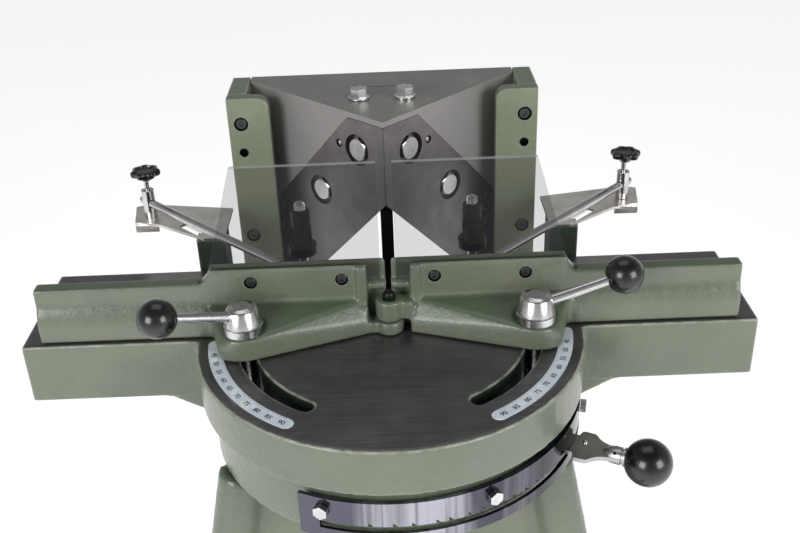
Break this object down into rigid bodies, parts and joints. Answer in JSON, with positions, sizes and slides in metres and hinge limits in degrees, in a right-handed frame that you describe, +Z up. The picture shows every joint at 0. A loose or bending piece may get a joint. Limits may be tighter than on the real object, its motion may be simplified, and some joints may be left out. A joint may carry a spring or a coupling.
{
  "type": "double mitre guillotine",
  "caption": "Foot-operated mitre cutter for picture-frame mouldings: V-shaped knife head behind a round-front table, swinging fences with clear guards, indexing lever and treadle.",
  "frame": {"origin": "On the floor, straight below the axis of the pin that both fences swing about", "axes": "+Z up, +X to the operator's right, -Y towards the operator"},
  "size_m": [0.64, 0.7266, 1.0183],
  "materials": {
    "green_paint": "semi-gloss grey-green enamel over rough casting",
    "dark_green": "dark green enamel",
    "machined_iron": "milled and ground, dark grey",
    "bright_steel": "bright turned or plated steel",
    "knife_steel": "ground tool steel",
    "black_steel": "blackened steel",
    "black_plastic": "glossy black phenolic",
    "clear_acrylic": "clear acrylic sheet",
    "scale_white": "white printed scale"
  },
  "bodies": {
    "stand": {"pedestal": "green_paint", "table": "green_paint", "scale_left": "scale_white", "scale_right": "scale_white", "hinge_pin": "black_steel", "index_plate": "bright_steel", "index_bolt_1": "bright_steel", "index_bolt_2": "bright_steel", "index_bolt_3": "bright_steel", "index_pivot": "dark_green", "rail_left": "machined_iron", "rail_right": "machined_iron", "pedal_mount": "dark_green", "support_block_left": "dark_green", "support_block_right": "dark_green", "rest_bracket_left": "bright_steel", "rest_bracket_right": "bright_steel", "rest_pillar_left": "bright_steel", "rest_pillar_right": "bright_steel"},
    "carriage": {"carriage": "green_paint", "gib_left": "green_paint", "gib_right": "green_paint"},
    "knife_head": {"knife_block": "machined_iron", "knife_left": "knife_steel", "knife_right": "knife_steel", "knife_bolt_left_1": "bright_steel", "knife_bolt_left_2": "bright_steel", "knife_bolt_left_3": "bright_steel", "knife_bolt_right_1": "bright_steel", "knife_bolt_right_2": "bright_steel", "knife_bolt_right_3": "bright_steel", "head_bolt_left": "bright_steel", "head_bolt_right": "bright_steel", "draw_bar": "black_steel"},
    "pedal": {"pedal_arm": "black_steel", "pedal_pad": "black_plastic"},
    "index_lever": {"index_lever": "bright_steel", "index_ball": "black_plastic"},
    "fence_left": {"fence_left": "green_paint", "guard_left": "clear_acrylic"},
    "clamp_left": {"clamp_lever_left": "bright_steel", "clamp_ball_left": "black_plastic"},
    "rest_rod_left": {"rest_rod_left": "bright_steel"},
    "rest_knob_left": {"knob_spindle_left": "bright_steel", "star_knob_left": "black_plastic"},
    "rest_post_left": {"rest_sleeve_left": "black_steel", "rest_stem_left": "bright_steel", "rest_tip_left": "bright_steel"},
    "fence_right": {"fence_right": "green_paint", "guard_right": "clear_acrylic"},
    "clamp_right": {"clamp_lever_right": "bright_steel", "clamp_ball_right": "black_plastic"},
    "rest_rod_right": {"rest_rod_right": "bright_steel"},
    "rest_knob_right": {"knob_spindle_right": "bright_steel", "star_knob_right": "black_plastic"},
    "rest_post_right": {"rest_sleeve_right": "black_steel", "rest_stem_right": "bright_steel", "rest_tip_right": "bright_steel"}
  },
  "joints": [
    {"name": "carriage_slide", "type": "slide", "parent": "stand", "child": "carriage", "axis": [0, 1, 0], "range_m": [-0.09, 0]},
    {"name": "head_slide", "type": "slide", "parent": "carriage", "child": "knife_head", "axis": [0, 0, 1], "range_m": [-0.07, 0.08], "stiffness_N_per_m": 2500, "springref_m": 0.15},
    {"name": "pedal_swing", "type": "hinge", "parent": "stand", "child": "pedal", "pos_m": [0, 0.23, 0.2], "axis": [1, 0, 0], "range_deg": [-20.2, 17.7]},
    {"name": "index_swing", "type": "hinge", "parent": "stand", "child": "index_lever", "pos_m": [0, 0, 0.784], "axis": [0, 0, 1], "range_deg": [-80.5, 0.5]},
    {"name": "fence_left_swing", "type": "hinge", "parent": "stand", "child": "fence_left", "pos_m": [0, 0, 0.86], "axis": [0, 0, 1], "range_deg": [0, 45]},
    {"name": "clamp_left_turn", "type": "hinge", "parent": "fence_left", "child": "clamp_left", "pos_m": [-0.12227, -0.02599, 0.86], "axis": [0, 0, 1], "range_deg": [-30, 55]},
    {"name": "rest_rod_left_slide", "type": "slide", "parent": "stand", "child": "rest_rod_left", "axis": [-0.7071, 0.7071, 0], "range_m": [-0.012, 0.06]},
    {"name": "rest_knob_left_turn", "type": "hinge", "parent": "stand", "child": "rest_knob_left", "pos_m": [-0.2366, 0.178, 0.93], "axis": [0, 0, 1], "continuous": true},
    {"name": "rest_post_left_slide", "type": "slide", "parent": "stand", "child": "rest_post_left", "axis": [0, 0, 1], "range_m": [-0.016, 0.012]},
    {"name": "fence_right_swing", "type": "hinge", "parent": "stand", "child": "fence_right", "pos_m": [0, 0, 0.86], "axis": [0, 0, 1], "range_deg": [-45, 0]},
    {"name": "clamp_right_turn", "type": "hinge", "parent": "fence_right", "child": "clamp_right", "pos_m": [0.12227, -0.02599, 0.86], "axis": [0, 0, 1], "range_deg": [-60, 5]},
    {"name": "rest_rod_right_slide", "type": "slide", "parent": "stand", "child": "rest_rod_right", "axis": [0.7071, 0.7071, 0], "range_m": [-0.012, 0.06]},
    {"name": "rest_knob_right_turn", "type": "hinge", "parent": "stand", "child": "rest_knob_right", "pos_m": [0.2366, 0.178, 0.93], "axis": [0, 0, 1], "continuous": true},
    {"name": "rest_post_right_slide", "type": "slide", "parent": "stand", "child": "rest_post_right", "axis": [0, 0, 1], "range_m": [-0.016, 0.012]}
  ],
  "couplings": [
    {"joint": "pedal_swing", "follows": "head_slide", "rad_per_m": -4.348},
    {"joint": "index_swing", "follows": "carriage_slide", "rad_per_m": 15.514}
  ]
}
